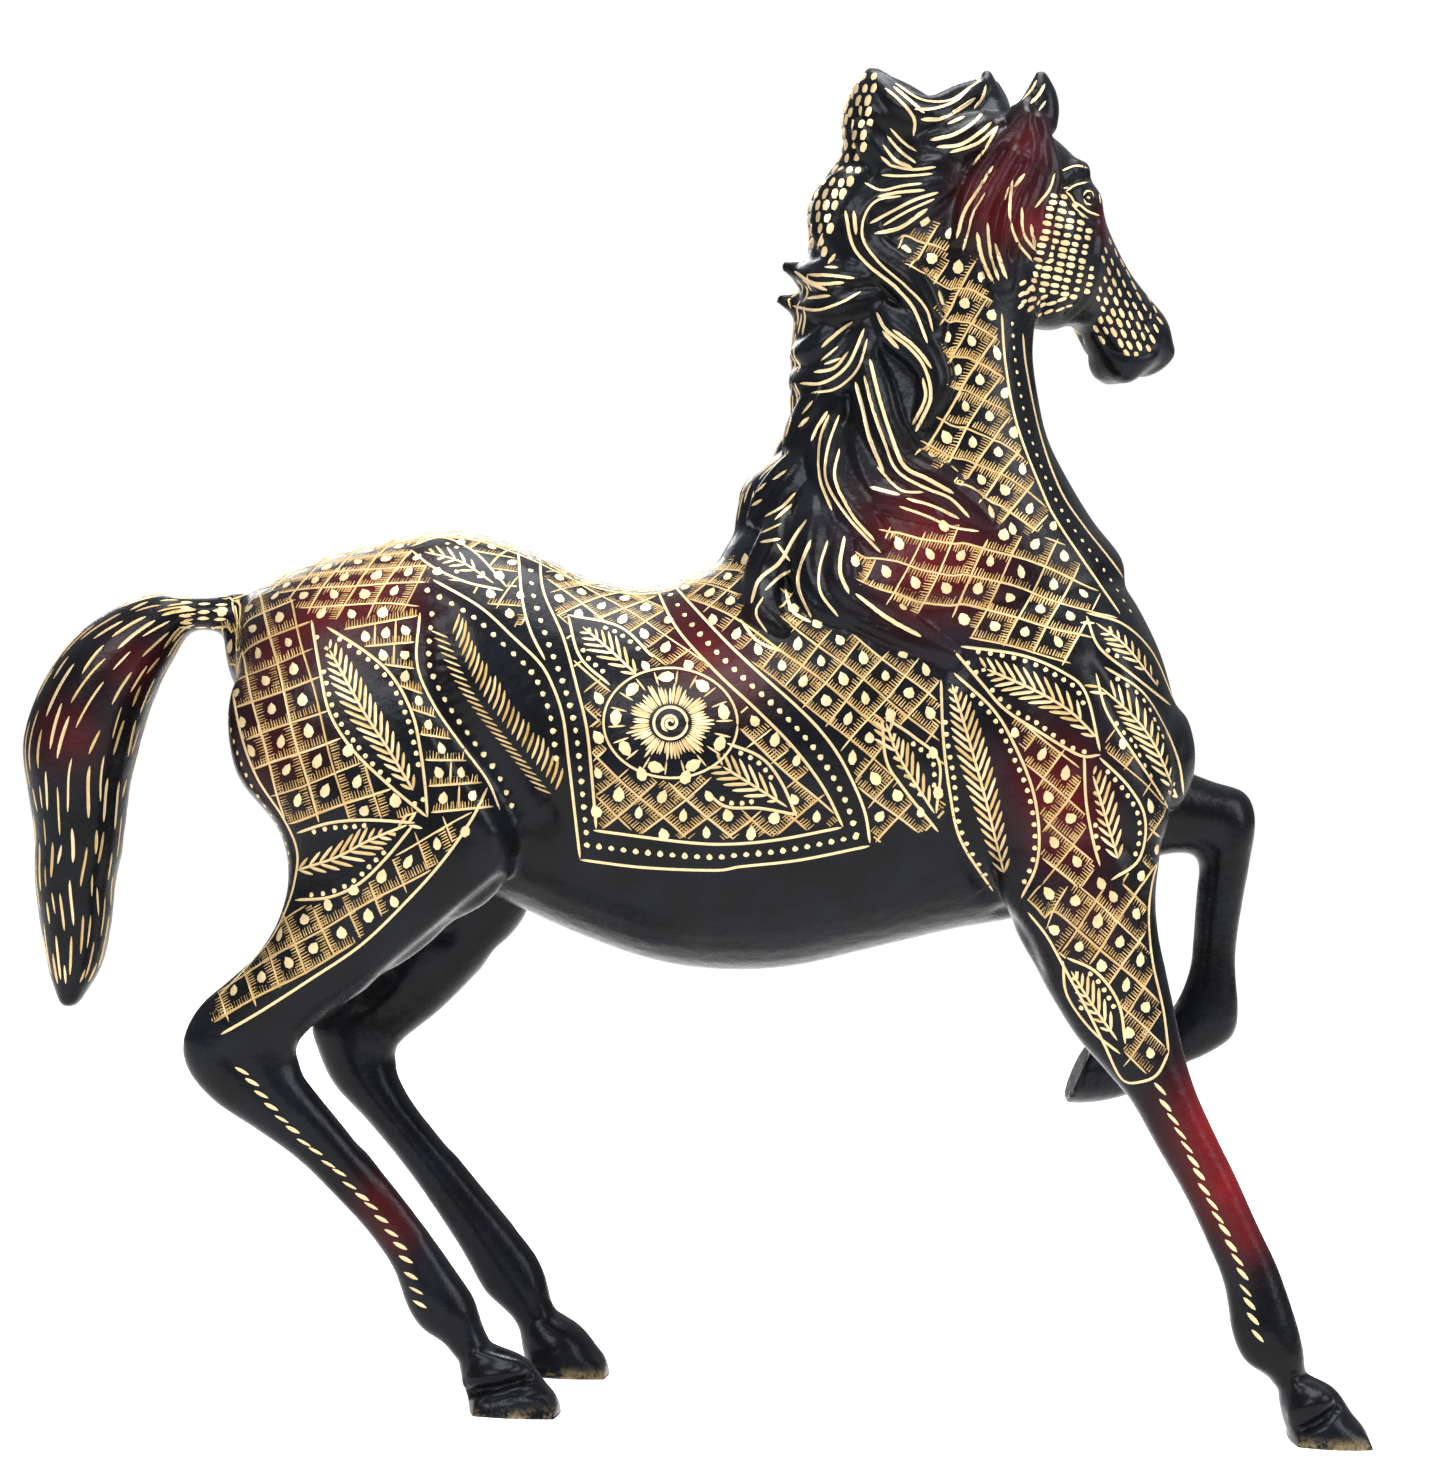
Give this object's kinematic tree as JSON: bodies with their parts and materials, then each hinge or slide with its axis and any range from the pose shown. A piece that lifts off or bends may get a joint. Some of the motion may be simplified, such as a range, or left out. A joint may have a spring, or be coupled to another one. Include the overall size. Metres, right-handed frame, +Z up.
{
  "type": "brass horse statuette",
  "caption": "Cast brass prancing horse figure with one foreleg raised, head turned aside, engraved through dark lacquer.",
  "frame": {"origin": "on the ground under the middle of the bounding box", "axes": "+X the way the horse's body faces, +Y towards its left side, +Z up"},
  "size_m": [0.4026, 0.0956, 0.3959],
  "materials": {
    "lacquered_brass": "glossy black and maroon lacquer over cast brass",
    "bright_brass": "bare cut or brazed brass"
  },
  "bodies": {
    "root": {"trunk_right_shell": "lacquered_brass", "trunk_left_shell": "lacquered_brass", "neck_right_shell": "lacquered_brass", "neck_left_shell": "lacquered_brass", "head": "lacquered_brass", "tail": "lacquered_brass", "right_foreleg": "lacquered_brass", "left_foreleg": "lacquered_brass", "right_hind_leg": "lacquered_brass", "left_hind_leg": "lacquered_brass", "neck_braze": "bright_brass", "head_braze": "bright_brass", "tail_braze": "bright_brass", "right_foreleg_braze": "bright_brass", "left_foreleg_braze": "bright_brass", "right_hind_leg_braze": "bright_brass", "left_hind_leg_braze": "bright_brass"}
  },
  "joints": []
}
